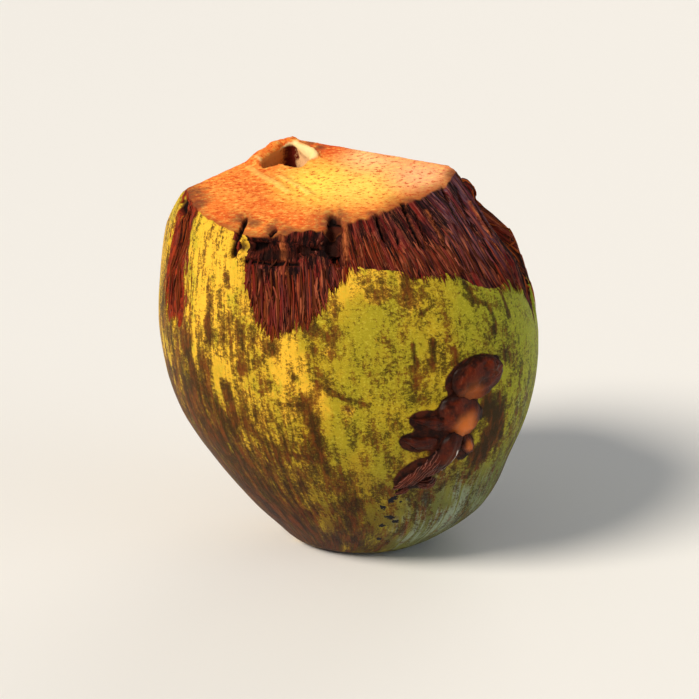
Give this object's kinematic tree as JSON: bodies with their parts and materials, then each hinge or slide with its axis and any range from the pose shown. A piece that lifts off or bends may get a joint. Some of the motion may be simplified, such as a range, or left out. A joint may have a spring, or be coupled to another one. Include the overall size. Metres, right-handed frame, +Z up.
{
  "type": "fresh green coconut with chopped top",
  "caption": "Fresh green coconut, its top chopped off on a slope, shaved round the rim and opened with a drinking hole.",
  "frame": {"origin": "middle of the fruit's box at the height of its resting flat", "axes": "+Z up towards the chopped top, -Y towards the front that shows the shaved tongue and the scab"},
  "size_m": [0.158, 0.1508, 0.1705],
  "materials": {
    "husk": "waxy yellow-green rind with brown stains, and cut husk fibre"
  },
  "bodies": {
    "root": {"husk": "husk"}
  },
  "joints": []
}
